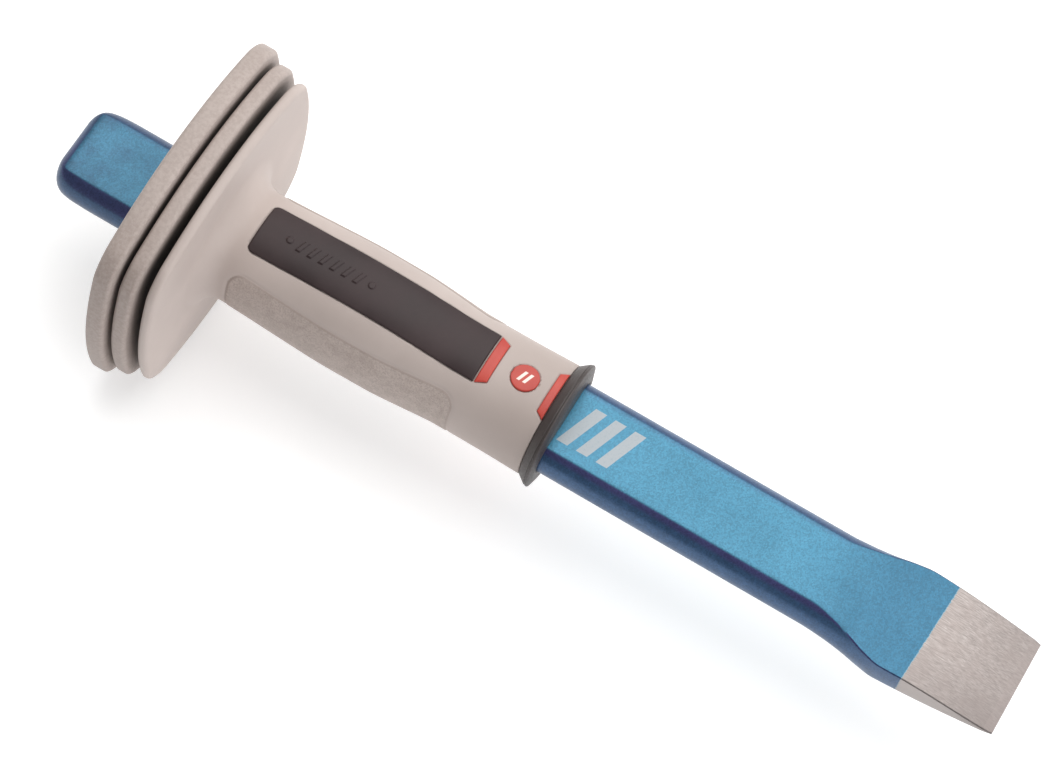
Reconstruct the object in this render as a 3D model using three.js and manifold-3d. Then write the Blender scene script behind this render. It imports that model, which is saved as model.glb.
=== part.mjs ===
// Cold chisel with a push-on hand guard.
// Millimetres. X runs along the bar from the striking face (X = 0) to the cutting edge, Y is the width
// of the blade, +Z is up out of the front broad face. The origin is the centre of the striking face.

import * as THREE from 'three';
import { mergeVertices } from 'three/addons/utils/BufferGeometryUtils.js';
import Module from 'manifold-3d';

const wasm = await Module();
wasm.setup();

// ---- Driving dimensions -------------------------------------------------------------------------

const LENGTH = 300;              // striking face to cutting edge
const BAR_WIDTH = 29.2;          // over the rounded sides
const BAR_THICKNESS = 13;        // between the two broad faces
const BROAD_FACE_WIDTH = 20.5;   // flat part of each broad face
const CLAMP_START = 160;         // the free flats of the shank run from here to the flare
const FLARE_START = 240.5;       // the bar's section is constant up to here
const BEVEL_START = 272.4;       // bare ground wedge from here to the edge
const BEVEL_LEAN = 0.05;         // the bevel's start is this much out of square

const GUARD_START = 32.6;        // head-side face of the first flange
const SHELL_END = 153.6;         // tip-side end of the overmoulding
const COLLAR_START = 153.9;
const COLLAR_END = 158.0;
const COLLAR_RIM = 156.9;        // where the collar is widest

const FIT = 0.3;                 // clearance between touching pieces
const SLEEVE_WALL = 0.7;         // tube wall of the inner sleeve
const RIB_THICKNESS = 2;
const RIB_SPACING = 6;
const RIB_HEIGHT = 12.4;         // rib crest above the bar's axis
const RIB_START = 62.4;
const RIB_END = 147.2;

const INLAY_DEPTH = 1.3;         // inlays reach this far below the grip's surface
const INLAY_PROUD = 0.3;         // and stand this far above it
const PAD_START = 59.7;
const PAD_END = 131.9;
const PAD_WIDTH = 16.2;
const PAD_CORNER = 2;
const PAD_BAND_END = 135.5;
const BAND_NARROW_WIDTH = 13;
const COLLAR_BAND_START = 151.1;
const MARKER_CENTRE = 143.7;
const MARKER_DIAMETER = 8.2;

const RIM_ROUNDING = 1.3;        // edge radius of the guard flanges
const HUB_HALF_WIDTH = 21;       // hub between the flanges
const HUB_HALF_DEPTH = 20;
const ROOT_FILLET = 7.2;         // sweep from the last flange into the grip

// Three flanges, head side first: start, thickness and half sizes of each outline.
const FLANGES = [
  { start: GUARD_START, thickness: 5.8, halfWidth: 46.8, halfDepth: 41.2 },
  { start: 39.7, thickness: 4.7, halfWidth: 44.9, halfDepth: 38.1 },
  { start: 47.1, thickness: 3.1, halfWidth: 43, halfDepth: 37.2 },
];
const FLANGE_CORNER = 7;         // corner radius of a flange's outline
const FLANGE_SIDE_CROWN = 0.11;  // how much a side draws in towards the corners, as a share of its size
const FLANGE_TOP_CROWN = 0.21;
const GRIP_POWER = 2.2;          // above 2 the grip's section is fuller than an ellipse

// Grip outline along the bar: a palm swell, a waist and a slight flare at the collar.
const GRIP_STATIONS = [55.7, 67.8, 74.1, 92.4, 104.6, 114.7, 122.1, 125.9, 139, 154, 159.2];
const GRIP_HALF_WIDTHS = [16.5, 16.9, 17.2, 17.8, 17.75, 17.2, 16.65, 16.45, 16.5, 16.75, 16.8];
const GRIP_HALF_DEPTHS = [16.4, 17.1, 17.4, 18.1, 17.8, 17.1, 16.4, 16.2, 16.1, 16.5, 16.6];
const COLLAR_FLARE = 2.0;        // how far the collar's rim stands out from the grip

// Directions of a ring's points in degrees, closer together at the flanges' corners.
const QUARTER_TURN = [0, 9, 18, 26, 32, 35.5, 38, 40.5, 43, 46, 51, 59, 67, 75, 82.5];
const HALF_TURN = [...QUARTER_TURN, 90, ...QUARTER_TURN.slice(1).reverse().map((angle) => 180 - angle)];
const FULL_TURN = [...HALF_TURN, ...HALF_TURN.map((angle) => angle + 180)];
const SIDE_STEPS = 6;            // segments of each rounded side of the bar

// ---- Bar stations --------------------------------------------------------------------------------
// Half thickness, half width of the broad face, half width over the sides, and how far the section moves
// along X for each millimetre of Y.

const HALF_THICKNESS = BAR_THICKNESS / 2;
const HALF_FACE = BROAD_FACE_WIDTH / 2;
const HALF_WIDTH = BAR_WIDTH / 2;

const BAR_STATIONS = [
  { x: 0, thick: 3.9, face: 7.2, width: 9.6, lean: 0 },
  { x: 0.5, thick: 4.7, face: 8.3, width: 10.8, lean: 0 },
  { x: 1.3, thick: 5.6, face: 9.3, width: 12.0, lean: 0 },
  { x: 2.4, thick: 6.3, face: 10.0, width: 13.0, lean: 0 },
  { x: 4, thick: HALF_THICKNESS, face: HALF_FACE, width: 13.8, lean: 0 },
  { x: 7, thick: HALF_THICKNESS, face: HALF_FACE, width: 14.35, lean: 0 },
  { x: 12, thick: HALF_THICKNESS, face: HALF_FACE, width: HALF_WIDTH, lean: 0 },
  { x: CLAMP_START, thick: HALF_THICKNESS, face: HALF_FACE, width: HALF_WIDTH, lean: 0 },
  { x: FLARE_START, thick: HALF_THICKNESS, face: HALF_FACE, width: HALF_WIDTH, lean: 0 },
  { x: 247.4, thick: 6.25, face: 11.6, width: 14.95, lean: 0 },
  { x: 253.5, thick: 5.7, face: 13.4, width: 15.6, lean: 0.01 },
  { x: 259.9, thick: 5.0, face: 15.4, width: 16.5, lean: 0.025 },
  { x: 265.4, thick: 4.5, face: 16.35, width: 16.85, lean: 0.04 },
  { x: BEVEL_START, thick: 4.25, face: 16.15, width: 16.45, lean: BEVEL_LEAN },
  { x: 297.2, thick: 0.8, face: 15.4, width: 15.5, lean: 0 },
  { x: LENGTH, thick: 0.3, face: 15.05, width: 15.1, lean: 0 },
];

// ---- Geometry helpers ----------------------------------------------------------------------------

function toSolid(geometry) {
  const bare = geometry.clone();
  bare.deleteAttribute('normal');
  bare.deleteAttribute('uv');
  const merged = mergeVertices(bare, 1e-4);
  return new wasm.Manifold(new wasm.Mesh({
    numProp: 3,
    vertProperties: merged.attributes.position.array,
    triVerts: merged.index.array,
  }));
}

function toGeometry(solid) {
  const mesh = solid.getMesh();
  const geometry = new THREE.BufferGeometry();
  geometry.setAttribute('position', new THREE.BufferAttribute(mesh.vertProperties, mesh.numProp));
  geometry.setIndex(new THREE.BufferAttribute(mesh.triVerts, 1));
  geometry.computeVertexNormals();
  return geometry;
}

// Closed body through a list of rings with equal point counts, ordered along +X. Each ring turns from
// +Y towards +Z. The two ends are closed by fans.
function loft(rings) {
  const count = rings[0].length;
  const positions = rings.flat().flatMap((point) => point.toArray());
  const indices = [];
  for (let ring = 0; ring + 1 < rings.length; ring += 1) {
    for (let i = 0; i < count; i += 1) {
      const next = (i + 1) % count;
      const a = ring * count + i;
      const b = ring * count + next;
      indices.push(a, b, b + count, a, b + count, a + count);
    }
  }
  const last = (rings.length - 1) * count;
  for (let i = 1; i + 1 < count; i += 1) {
    indices.push(0, i + 1, i);
    indices.push(last, last + i, last + i + 1);
  }
  const geometry = new THREE.BufferGeometry();
  geometry.setAttribute('position', new THREE.Float32BufferAttribute(positions, 3));
  geometry.setIndex(indices);
  return geometry;
}

// A flat shape drawn in (Y, Z) and pushed along X.
function extrudeAlongX(shape, start, end, curveSegments = 12) {
  const depth = end - start;
  const geometry = new THREE.ExtrudeGeometry(shape, { depth, bevelEnabled: false, curveSegments });
  const basis = new THREE.Matrix4().makeBasis(
    new THREE.Vector3(0, 1, 0),
    new THREE.Vector3(0, 0, 1),
    new THREE.Vector3(1, 0, 0),
  );
  return geometry.applyMatrix4(basis).translate(start, 0, 0);
}

function smoothValue(stations, values, x) {
  return new THREE.CubicInterpolant(stations, values, 1).evaluate(x)[0];
}

// One ring of the grip's rounded outline.
function outlineRing(x, halfWidth, halfDepth) {
  return FULL_TURN.map((degrees) => {
    const angle = THREE.MathUtils.degToRad(degrees);
    const c = Math.cos(angle);
    const s = Math.sin(angle);
    const radius = (Math.abs(c) ** GRIP_POWER + Math.abs(s) ** GRIP_POWER) ** (-1 / GRIP_POWER);
    return new THREE.Vector3(x, halfWidth * radius * c, halfDepth * radius * s);
  });
}

// Distance from the centre of a rectangle with rounded corners to its outline, along (c, s).
function rectangleReach(c, s, halfWidth, halfDepth) {
  const cornerY = halfWidth - FLANGE_CORNER;
  const cornerZ = halfDepth - FLANGE_CORNER;
  if (halfWidth * s <= cornerZ * c) {
    return halfWidth / c;
  }
  if (halfDepth * c <= cornerY * s) {
    return halfDepth / s;
  }
  const along = cornerY * c + cornerZ * s;
  return along + Math.sqrt(along ** 2 + FLANGE_CORNER ** 2 - cornerY ** 2 - cornerZ ** 2);
}

// One ring of a flange: a rounded rectangle whose sides draw in towards the corners, so they bow outwards.
function flangeRing(x, halfWidth, halfDepth) {
  return FULL_TURN.map((degrees) => {
    const angle = THREE.MathUtils.degToRad(degrees);
    const c = Math.cos(angle);
    const s = Math.sin(angle);
    const reach = rectangleReach(Math.abs(c), Math.abs(s), halfWidth, halfDepth);
    const y = reach * c * (1 - FLANGE_SIDE_CROWN * ((reach * s) / halfDepth) ** 2);
    const z = reach * s * (1 - FLANGE_TOP_CROWN * ((reach * c) / halfWidth) ** 2);
    return new THREE.Vector3(x, y, z);
  });
}

// The bar's flat-oval outline, enlarged by `grow` all round, as a shape in (Y, Z).
function flatOval(grow) {
  const bulge = HALF_WIDTH - HALF_FACE;
  const radius = (bulge ** 2 + HALF_THICKNESS ** 2) / (2 * bulge);
  const centre = HALF_WIDTH - radius;
  const reach = Math.asin((HALF_THICKNESS + grow) / (radius + grow));
  const shape = new THREE.Shape();
  shape.absarc(centre, 0, radius + grow, -reach, reach, false);
  shape.absarc(-centre, 0, radius + grow, Math.PI - reach, Math.PI + reach, false);
  shape.closePath();
  return shape;
}

// ---- Bar -----------------------------------------------------------------------------------------

function barRing({ x, thick, face, width, lean }) {
  const bulge = width - face;
  const radius = (bulge ** 2 + thick ** 2) / (2 * bulge);
  const centre = width - radius;
  const reach = Math.asin(thick / radius);
  const ring = [];
  for (const side of [1, -1]) {
    for (let i = 0; i <= SIDE_STEPS; i += 1) {
      const angle = reach * ((2 * i) / SIDE_STEPS - 1);
      const y = side * (centre + radius * Math.cos(angle));
      const z = side * radius * Math.sin(angle);
      ring.push(new THREE.Vector3(x + lean * y, y, z));
    }
  }
  return ring;
}

function chiselBar() {
  return loft(BAR_STATIONS.map(barRing));
}

// ---- Grip surface, shared by the shell, its inlays and the collar --------------------------------

function gripRing(x, offset) {
  const halfWidth = smoothValue(GRIP_STATIONS, GRIP_HALF_WIDTHS, x) + offset;
  const halfDepth = smoothValue(GRIP_STATIONS, GRIP_HALF_DEPTHS, x) + offset;
  return outlineRing(x, halfWidth, halfDepth);
}

// The grip's body alone, grown or shrunk by an offset. It bounds the inlays above and below.
function gripBody(offset, start, end) {
  const steps = 24;
  const rings = [];
  for (let i = 0; i <= steps; i += 1) {
    rings.push(gripRing(start + ((end - start) * i) / steps, offset));
  }
  return toSolid(loft(rings));
}

// ---- Inner sleeve --------------------------------------------------------------------------------

function sleeveOutside(grow, overrun) {
  const tube = flatOval(FIT + SLEEVE_WALL + grow);
  let solid = toSolid(extrudeAlongX(tube, GUARD_START - overrun, SHELL_END - FIT + overrun));
  for (const side of [1, -1]) {
    for (const row of [-1, 0, 1]) {
      const length = RIB_END - RIB_START + 2 * grow;
      const foot = HALF_THICKNESS + FIT;
      const height = RIB_HEIGHT - foot + grow;
      const rib = new THREE.BoxGeometry(length, RIB_THICKNESS + 2 * grow, height);
      rib.translate((RIB_START + RIB_END) / 2, row * RIB_SPACING, side * (foot + height / 2));
      solid = solid.add(toSolid(rib));
    }
  }
  return solid;
}

function coreSleeve() {
  const bore = toSolid(extrudeAlongX(flatOval(FIT), 0, LENGTH));
  return toGeometry(sleeveOutside(0, 0).subtract(bore));
}

// ---- Inlays: each is a flat outline in (X, Y), cut out of the skin of the grip -------------------

function padOutline(grow) {
  const left = PAD_START - grow;
  const right = PAD_END + grow;
  const half = PAD_WIDTH / 2 + grow;
  const corner = PAD_CORNER + grow;
  const shape = new THREE.Shape();
  shape.moveTo(right, -half);
  shape.lineTo(right, half);
  shape.absarc(left + corner, half - corner, corner, Math.PI / 2, Math.PI, false);
  shape.absarc(left + corner, corner - half, corner, Math.PI, 1.5 * Math.PI, false);
  shape.closePath();
  return shape;
}

function bandOutline(start, end, startWidth, endWidth) {
  return (grow) => {
    const shape = new THREE.Shape();
    shape.moveTo(start - grow, -startWidth / 2 - grow);
    shape.lineTo(end + grow, -endWidth / 2 - grow);
    shape.lineTo(end + grow, endWidth / 2 + grow);
    shape.lineTo(start - grow, startWidth / 2 + grow);
    shape.closePath();
    return shape;
  };
}

function markerOutline(grow) {
  const shape = new THREE.Shape();
  shape.absarc(MARKER_CENTRE, 0, MARKER_DIAMETER / 2 + grow, 0, 2 * Math.PI, false);
  return shape;
}

const INLAYS = {
  pad: padOutline,
  pad_band: bandOutline(PAD_END + FIT, PAD_BAND_END, PAD_WIDTH, BAND_NARROW_WIDTH),
  marker: markerOutline,
  collar_band: bandOutline(COLLAR_BAND_START, SHELL_END, BAND_NARROW_WIDTH, PAD_WIDTH),
};

function inlayPrism(outline, grow) {
  const height = 2 * HUB_HALF_DEPTH;
  const shape = outline(grow);
  return toSolid(new THREE.ExtrudeGeometry(shape, { depth: height, bevelEnabled: false, curveSegments: 8 }));
}

function inlay(outline) {
  const outside = gripBody(INLAY_PROUD, GRIP_STATIONS[0], SHELL_END);
  const inside = gripBody(-INLAY_DEPTH, GRIP_STATIONS[0], SHELL_END);
  return toGeometry(inlayPrism(outline, 0).intersect(outside).subtract(inside));
}

function inlayRecess(outline) {
  const inside = gripBody(-INLAY_DEPTH - FIT, GRIP_STATIONS[0] - 1, COLLAR_END);
  return inlayPrism(outline, FIT).subtract(inside);
}

// ---- Shell: three guard flanges and the grip in one moulding -------------------------------------

function flangeRings({ start, thickness, halfWidth, halfDepth }) {
  const end = start + thickness;
  const steps = 2;
  const rings = [];
  for (let i = 0; i <= steps; i += 1) {
    const angle = (Math.PI / 2) * (i / steps);
    const inset = RIM_ROUNDING * (1 - Math.sin(angle));
    const x = start + RIM_ROUNDING * (1 - Math.cos(angle));
    rings.push(flangeRing(x, halfWidth - inset, halfDepth - inset));
  }
  for (let i = steps; i >= 0; i -= 1) {
    const angle = (Math.PI / 2) * (i / steps);
    const inset = RIM_ROUNDING * (1 - Math.sin(angle));
    const x = end - RIM_ROUNDING * (1 - Math.cos(angle));
    rings.push(flangeRing(x, halfWidth - inset, halfDepth - inset));
  }
  return rings;
}

function hubRing(x) {
  return outlineRing(x, HUB_HALF_WIDTH, HUB_HALF_DEPTH);
}

function filletRings(start) {
  const steps = 5;
  const rings = [];
  for (let i = 0; i < steps; i += 1) {
    const angle = (Math.PI / 2) * (i / steps);
    const x = start + ROOT_FILLET * (1 - Math.cos(angle));
    rings.push(gripRing(x, ROOT_FILLET * (1 - Math.sin(angle))));
  }
  return rings;
}

function gripShell() {
  const rings = [];
  FLANGES.forEach((flange, index) => {
    if (index > 0) {
      rings.push(hubRing(flange.start));
    }
    rings.push(...flangeRings(flange));
    if (index + 1 < FLANGES.length) {
      rings.push(hubRing(flange.start + flange.thickness));
    }
  });
  const lastFlange = FLANGES.at(-1);
  const flangeEnd = lastFlange.start + lastFlange.thickness;
  rings.push(...filletRings(flangeEnd));
  const gripStart = flangeEnd + ROOT_FILLET;
  const steps = 14;
  for (let i = 0; i <= steps; i += 1) {
    rings.push(gripRing(gripStart + ((SHELL_END - gripStart) * i) / steps, 0));
  }
  let solid = toSolid(loft(rings)).subtract(sleeveOutside(FIT, 1));
  for (const outline of Object.values(INLAYS)) {
    const recess = inlayRecess(outline);
    solid = solid.subtract(recess).subtract(recess.rotate([180, 0, 0]));
  }
  return toGeometry(solid);
}

// ---- Collar --------------------------------------------------------------------------------------

function endCollar() {
  const rings = [
    gripRing(COLLAR_START, 0),
    gripRing(COLLAR_RIM - 0.4, COLLAR_FLARE - 0.3),
    gripRing(COLLAR_RIM, COLLAR_FLARE),
    gripRing(COLLAR_RIM + 0.4, COLLAR_FLARE - 0.2),
    gripRing(COLLAR_RIM + 0.7, COLLAR_FLARE - 0.7),
    gripRing(COLLAR_END, -0.4),
  ];
  const bore = toSolid(extrudeAlongX(flatOval(FIT), 0, LENGTH));
  return toGeometry(toSolid(loft(rings)).subtract(bore));
}

// ---- Materials and scene -------------------------------------------------------------------------

const lacquer = new THREE.MeshStandardMaterial({ color: 0x3f87ad, roughness: 0.35, metalness: 0.6 });
const greyElastomer = new THREE.MeshStandardMaterial({ color: 0xb9aca4, roughness: 0.75, metalness: 0 });
const darkPolymer = new THREE.MeshStandardMaterial({ color: 0x3d3838, roughness: 0.55, metalness: 0 });
const padRubber = new THREE.MeshStandardMaterial({ color: 0x4b4345, roughness: 0.5, metalness: 0 });
const redPolymer = new THREE.MeshStandardMaterial({ color: 0xcf4a3c, roughness: 0.5, metalness: 0 });

const chisel = new THREE.Group();

function addPart(name, geometry, material) {
  const mesh = new THREE.Mesh(geometry, material);
  mesh.name = name;
  chisel.add(mesh);
  return mesh;
}

addPart('chisel_bar', chiselBar(), lacquer);
addPart('core_sleeve', coreSleeve(), darkPolymer);
addPart('grip_shell', gripShell(), greyElastomer);
addPart('end_collar', endCollar(), darkPolymer);

for (const [name, outline] of Object.entries(INLAYS)) {
  const material = name === 'pad' ? padRubber : redPolymer;
  const geometry = inlay(outline);
  addPart(`front_${name}`, geometry, material);
  addPart(`back_${name}`, geometry, material).rotation.x = Math.PI;
}

export default chisel;
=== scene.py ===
"""Looks for a cold chisel with a slide-on hand guard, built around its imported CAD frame.

Metres, in the CAD's own frame: X from the striking face to the cutting edge, Y across the blade, Z out of
the front broad face.
"""

import bpy
import numpy as np
from mathutils import Matrix, Vector


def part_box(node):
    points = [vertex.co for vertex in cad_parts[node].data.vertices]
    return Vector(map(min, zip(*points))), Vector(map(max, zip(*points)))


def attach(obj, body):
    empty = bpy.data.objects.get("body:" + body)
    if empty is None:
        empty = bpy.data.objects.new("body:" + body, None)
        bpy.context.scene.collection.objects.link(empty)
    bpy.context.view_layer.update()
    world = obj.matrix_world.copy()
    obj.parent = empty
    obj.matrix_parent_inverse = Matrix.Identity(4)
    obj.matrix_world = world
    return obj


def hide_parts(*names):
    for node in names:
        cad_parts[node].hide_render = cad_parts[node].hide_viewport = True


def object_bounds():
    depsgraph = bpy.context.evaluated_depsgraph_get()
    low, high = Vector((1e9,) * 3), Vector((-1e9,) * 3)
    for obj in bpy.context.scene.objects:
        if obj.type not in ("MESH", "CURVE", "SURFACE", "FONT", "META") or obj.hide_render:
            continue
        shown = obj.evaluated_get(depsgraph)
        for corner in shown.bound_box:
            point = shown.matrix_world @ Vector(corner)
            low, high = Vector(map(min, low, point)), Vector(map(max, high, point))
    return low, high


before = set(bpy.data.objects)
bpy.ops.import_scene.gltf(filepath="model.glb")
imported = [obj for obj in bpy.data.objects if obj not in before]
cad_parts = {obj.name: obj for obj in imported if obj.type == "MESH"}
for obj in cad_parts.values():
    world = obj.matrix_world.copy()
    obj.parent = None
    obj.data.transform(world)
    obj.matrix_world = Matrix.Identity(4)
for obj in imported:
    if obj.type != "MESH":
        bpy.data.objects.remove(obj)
cad_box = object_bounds()

MM = 0.001

# ---- Camera: the photograph's viewing angle ------------------------------------------------------

LOOK_AT = Vector((0.1434, 0.0041, 0.0))
CAMERA_DISTANCE = 1.0218
CAMERA_YAW = np.radians(7.27)
CAMERA_TILT = np.radians(24.06)
CAMERA_ROLL = np.radians(32.95)
CAMERA_LENS_MM = 127.2

# ---- Sizes read from the frame -------------------------------------------------------------------

shell_low, shell_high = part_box("grip_shell")
pad_low, pad_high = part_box("front_pad")
pad_band_low, pad_band_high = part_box("front_pad_band")
marker_low, marker_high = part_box("front_marker")
collar_band_low, collar_band_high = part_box("front_collar_band")

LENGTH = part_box("chisel_bar")[1].x
SHELL_START = shell_low.x
SHELL_END = shell_high.x
COLLAR_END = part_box("end_collar")[1].x

# ---- Driving shapes, the same as the CAD's but with finer edges ----------------------------------

# Bar: place, half thickness, half width of the broad face, half width over the sides, and lean: how far
# a section moves along X for each unit of Y.
BEVEL_LEAN = 0.05
BAR_STATIONS = np.array([
    (0, 3.9, 7.2, 9.6, 0),
    (0.5, 4.7, 8.3, 10.8, 0),
    (1.3, 5.6, 9.3, 12.0, 0),
    (2.4, 6.3, 10.0, 13.0, 0),
    (4, 6.5, 10.25, 13.8, 0),
    (7, 6.5, 10.25, 14.35, 0),
    (12, 6.5, 10.25, 14.6, 0),
    (240.5, 6.5, 10.25, 14.6, 0),
    (247.4, 6.25, 11.6, 14.95, 0),
    (253.5, 5.7, 13.4, 15.6, 0.01),
    (259.9, 5.0, 15.4, 16.5, 0.025),
    (265.4, 4.5, 16.35, 16.85, 0.04),
    (272.4, 4.25, 16.15, 16.45, BEVEL_LEAN),
    (297.2, 0.8, 15.4, 15.5, 0),
    (300, 0.3, 15.05, 15.1, 0),
]) * (MM, MM, MM, MM, 1)
FLARE_START, HALF_THICKNESS, HALF_FACE, HALF_WIDTH = BAR_STATIONS[7, :4]   # where the plain shank ends
BEVEL_START, EDGE_BEVEL_START = BAR_STATIONS[-3:-1, 0]   # the bare ground wedge and its steeper last part
CORNER_EASE = 0.28 * MM          # rounding between a broad face and a side

# Grip outline: place, half width, half depth.
GRIP_STATIONS = np.array([
    (55.7, 16.5, 16.4),
    (67.8, 16.9, 17.1),
    (74.1, 17.2, 17.4),
    (92.4, 17.8, 18.1),
    (104.6, 17.75, 17.8),
    (114.7, 17.2, 17.1),
    (122.1, 16.65, 16.4),
    (125.9, 16.45, 16.2),
    (139, 16.5, 16.1),
    (154, 16.75, 16.5),
    (159.2, 16.8, 16.6),
]) * MM
GRIP_POWER = 2.2

# Guard flanges: start, thickness, half width, half depth.
FLANGES = np.array([
    (32.6, 5.8, 46.8, 41.2),
    (39.7, 4.7, 44.9, 38.1),
    (47.1, 3.1, 43, 37.2),
]) * MM
FLANGE_CORNER = 7 * MM
FLANGE_SIDE_CROWN = 0.11
FLANGE_TOP_CROWN = 0.21
HUB_HALF_SIZES = (21 * MM, 20 * MM)
RIM_ROUNDING = 1.3 * MM
HUB_FILLET = 1.0 * MM
ROOT_FILLET = 7.2 * MM

# The hollow inside the shell, which holds the ribbed sleeve.
CAVITY_START = 61.9 * MM
CAVITY_END = 147.7 * MM
CAVITY_HALF_SIZES = (15.7 * MM, 12.95 * MM)
CAVITY_POWER = 3.2
SLEEVE_OUTSIDE = 1.05 * MM       # how far the shell's bore stands out from the bar

BAR_CLEARANCE = 0.3 * MM
COLLAR_FLARE = 2.0 * MM
COLLAR_RIM = 156.9 * MM          # where the collar is widest
COLLAR_BEAD = 0.45 * MM          # rounding of its rim

RECESS_DEPTH = 0.55 * MM
INLAY_PROUD = 0.3 * MM
INLAY_EDGE = 0.4 * MM            # rounding of an inlay's top edge
INLAY_GAP = 0.08 * MM
BAND_NARROW_HALF = 6.5 * MM      # half width of a red band at its end by the marker

# ---- Surface detail that the CAD leaves out ------------------------------------------------------

# Textured panel on each side of the grip.
PANEL_START = 58.9 * MM
PANEL_END = 130.4 * MM
PANEL_HALF_HEIGHT = 10.9 * MM
PANEL_CORNER = 4.5 * MM
PANEL_HEIGHT = 0.10 * MM
PANEL_GROOVE = 0.16 * MM         # depth of the line round the panel
PANEL_GROOVE_WIDTH = 0.35 * MM

# Plain raised pattern on each pad, and plain slanted stripes printed on the bar and the markers.
SLANT = 0.35                     # how far a stripe leans along X for each unit of Y
EMBOSS_START = 71.2 * MM
EMBOSS_PITCH = 3.6 * MM
EMBOSS_COUNT = 6
EMBOSS_HEIGHT = 0.34 * MM
DOT_SPACING = 2.2 * MM
DOT_RADIUS = 1.1 * MM
STRIPE_START = 159.8 * MM
STRIPE_PITCH = 6.2 * MM
STRIPE_COUNT = 3
STRIPE_HALF_HEIGHT = 7.0 * MM
SLASH_OFFSET = 0.9 * MM
SLASH_HALF_WIDTH = 0.5 * MM
SLASH_HALF_HEIGHT = 1.7 * MM


# ---- Curves --------------------------------------------------------------------------------------

def smooth_curve(places, values, x):
    """Monotone cubic through the stations, so a straight stretch between equal values stays straight."""
    steps = np.diff(places)
    slopes = np.diff(values) / steps
    tangents = np.zeros(len(places))
    same_way = slopes[:-1] * slopes[1:] > 0
    harmonic = 2 * slopes[:-1] * slopes[1:] / np.where(same_way, slopes[:-1] + slopes[1:], 1)
    tangents[1:-1] = np.where(same_way, harmonic, 0)
    tangents[0], tangents[-1] = slopes[0], slopes[-1]
    x = np.clip(x, places[0], places[-1])
    i = np.clip(np.searchsorted(places, x) - 1, 0, len(steps) - 1)
    t = (x - places[i]) / steps[i]
    h = steps[i]
    return (
        values[i] * (1 + 2 * t) * (1 - t) ** 2
        + tangents[i] * h * t * (1 - t) ** 2
        + values[i + 1] * t * t * (3 - 2 * t)
        + tangents[i + 1] * h * t * t * (t - 1)
    )


def smooth_step(value, low, high):
    t = np.clip((value - low) / (high - low), 0, 1)
    return t * t * (3 - 2 * t)


def clustered(low, high, count, edge):
    """Places from low to high, with extra ones close to both ends."""
    inner = np.linspace(low + edge, high - edge, count)
    ends = edge * np.array([0, 0.06, 0.15, 0.3, 0.5, 0.75])
    return np.concatenate([low + ends, inner, high - ends[::-1]])


# ---- Meshes --------------------------------------------------------------------------------------

def add_mesh(name, points, faces, material, sharp_angle=30):
    """A new object from plain lists of points and faces, smooth except at sharp corners."""
    mesh = bpy.data.meshes.new(name)
    mesh.from_pydata(points, [], faces)
    mesh.validate()
    mesh.update()
    mesh.shade_smooth()
    mesh.set_sharp_from_angle(angle=np.radians(sharp_angle))
    obj = bpy.data.objects.new(name, mesh)
    bpy.context.scene.collection.objects.link(obj)
    mesh.materials.append(material)
    return obj


def ring_faces(ring_count, point_count, closed):
    """Quads between neighbouring rings that turn from +Y towards +Z as they go along +X."""
    rows = np.arange(ring_count if closed else ring_count - 1)
    i, j = np.meshgrid(rows, np.arange(point_count), indexing="ij")
    i2 = (i + 1) % ring_count
    j2 = (j + 1) % point_count
    quads = [i * point_count + j, i * point_count + j2, i2 * point_count + j2, i2 * point_count + j]
    return np.stack(quads, -1).reshape(-1, 4)


def ring_piece(name, rings, material, sharp_angle):
    """A closed surface through rings that come back to the first one, such as a sleeve."""
    points = np.asarray(rings)
    faces = ring_faces(points.shape[0], points.shape[1], closed=True)
    return add_mesh(name, points.reshape(-1, 3).tolist(), faces.tolist(), material, sharp_angle)


def finish_piece(obj, body, slot, *nodes):
    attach(obj, body)
    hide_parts(*nodes)


# ---- Outlines ------------------------------------------------------------------------------------

def ring_angles():
    """Directions round a ring, closer together at the flanges' corners."""
    quarter = np.radians(np.concatenate([
        np.linspace(0, 31, 30, endpoint=False),
        np.linspace(31, 50, 32, endpoint=False),
        np.linspace(50, 90, 42, endpoint=False),
    ]))
    half = np.concatenate([quarter, [np.pi / 2], np.pi - quarter[:0:-1]])
    return np.concatenate([half, half + np.pi])


RING_ANGLES = ring_angles()
RING_POINTS = len(RING_ANGLES)


def outline_ring(x, half_width, half_depth, power):
    c, s = np.cos(RING_ANGLES), np.sin(RING_ANGLES)
    radius = (np.abs(c) ** power + np.abs(s) ** power) ** (-1 / power)
    return np.stack([np.full(RING_POINTS, x), half_width * radius * c, half_depth * radius * s], -1)


def flange_ring(x, half_width, half_depth):
    """A rectangle with rounded corners whose sides draw in towards the corners, so that all four bow out."""
    c, s = np.cos(RING_ANGLES), np.sin(RING_ANGLES)
    across, up = np.abs(c), np.abs(s)
    corner_y, corner_z = half_width - FLANGE_CORNER, half_depth - FLANGE_CORNER
    along = corner_y * across + corner_z * up
    inside_arc = along ** 2 + FLANGE_CORNER ** 2 - corner_y ** 2 - corner_z ** 2
    reach = along + np.sqrt(np.maximum(inside_arc, 0))
    reach = np.where(half_width * up <= corner_z * across, half_width / np.maximum(across, 1e-6), reach)
    reach = np.where(half_depth * across <= corner_y * up, half_depth / np.maximum(up, 1e-6), reach)
    y = reach * c * (1 - FLANGE_SIDE_CROWN * (reach * s / half_depth) ** 2)
    z = reach * s * (1 - FLANGE_TOP_CROWN * (reach * c / half_width) ** 2)
    return np.stack([np.full(RING_POINTS, x), y, z], -1)


def grip_half_sizes(x):
    places, widths, depths = GRIP_STATIONS.T
    return smooth_curve(places, widths, x), smooth_curve(places, depths, x)


def grip_ring(x, offset=0.0):
    half_width, half_depth = grip_half_sizes(np.array([x]))
    return outline_ring(x, half_width[0] + offset, half_depth[0] + offset, GRIP_POWER)


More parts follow.
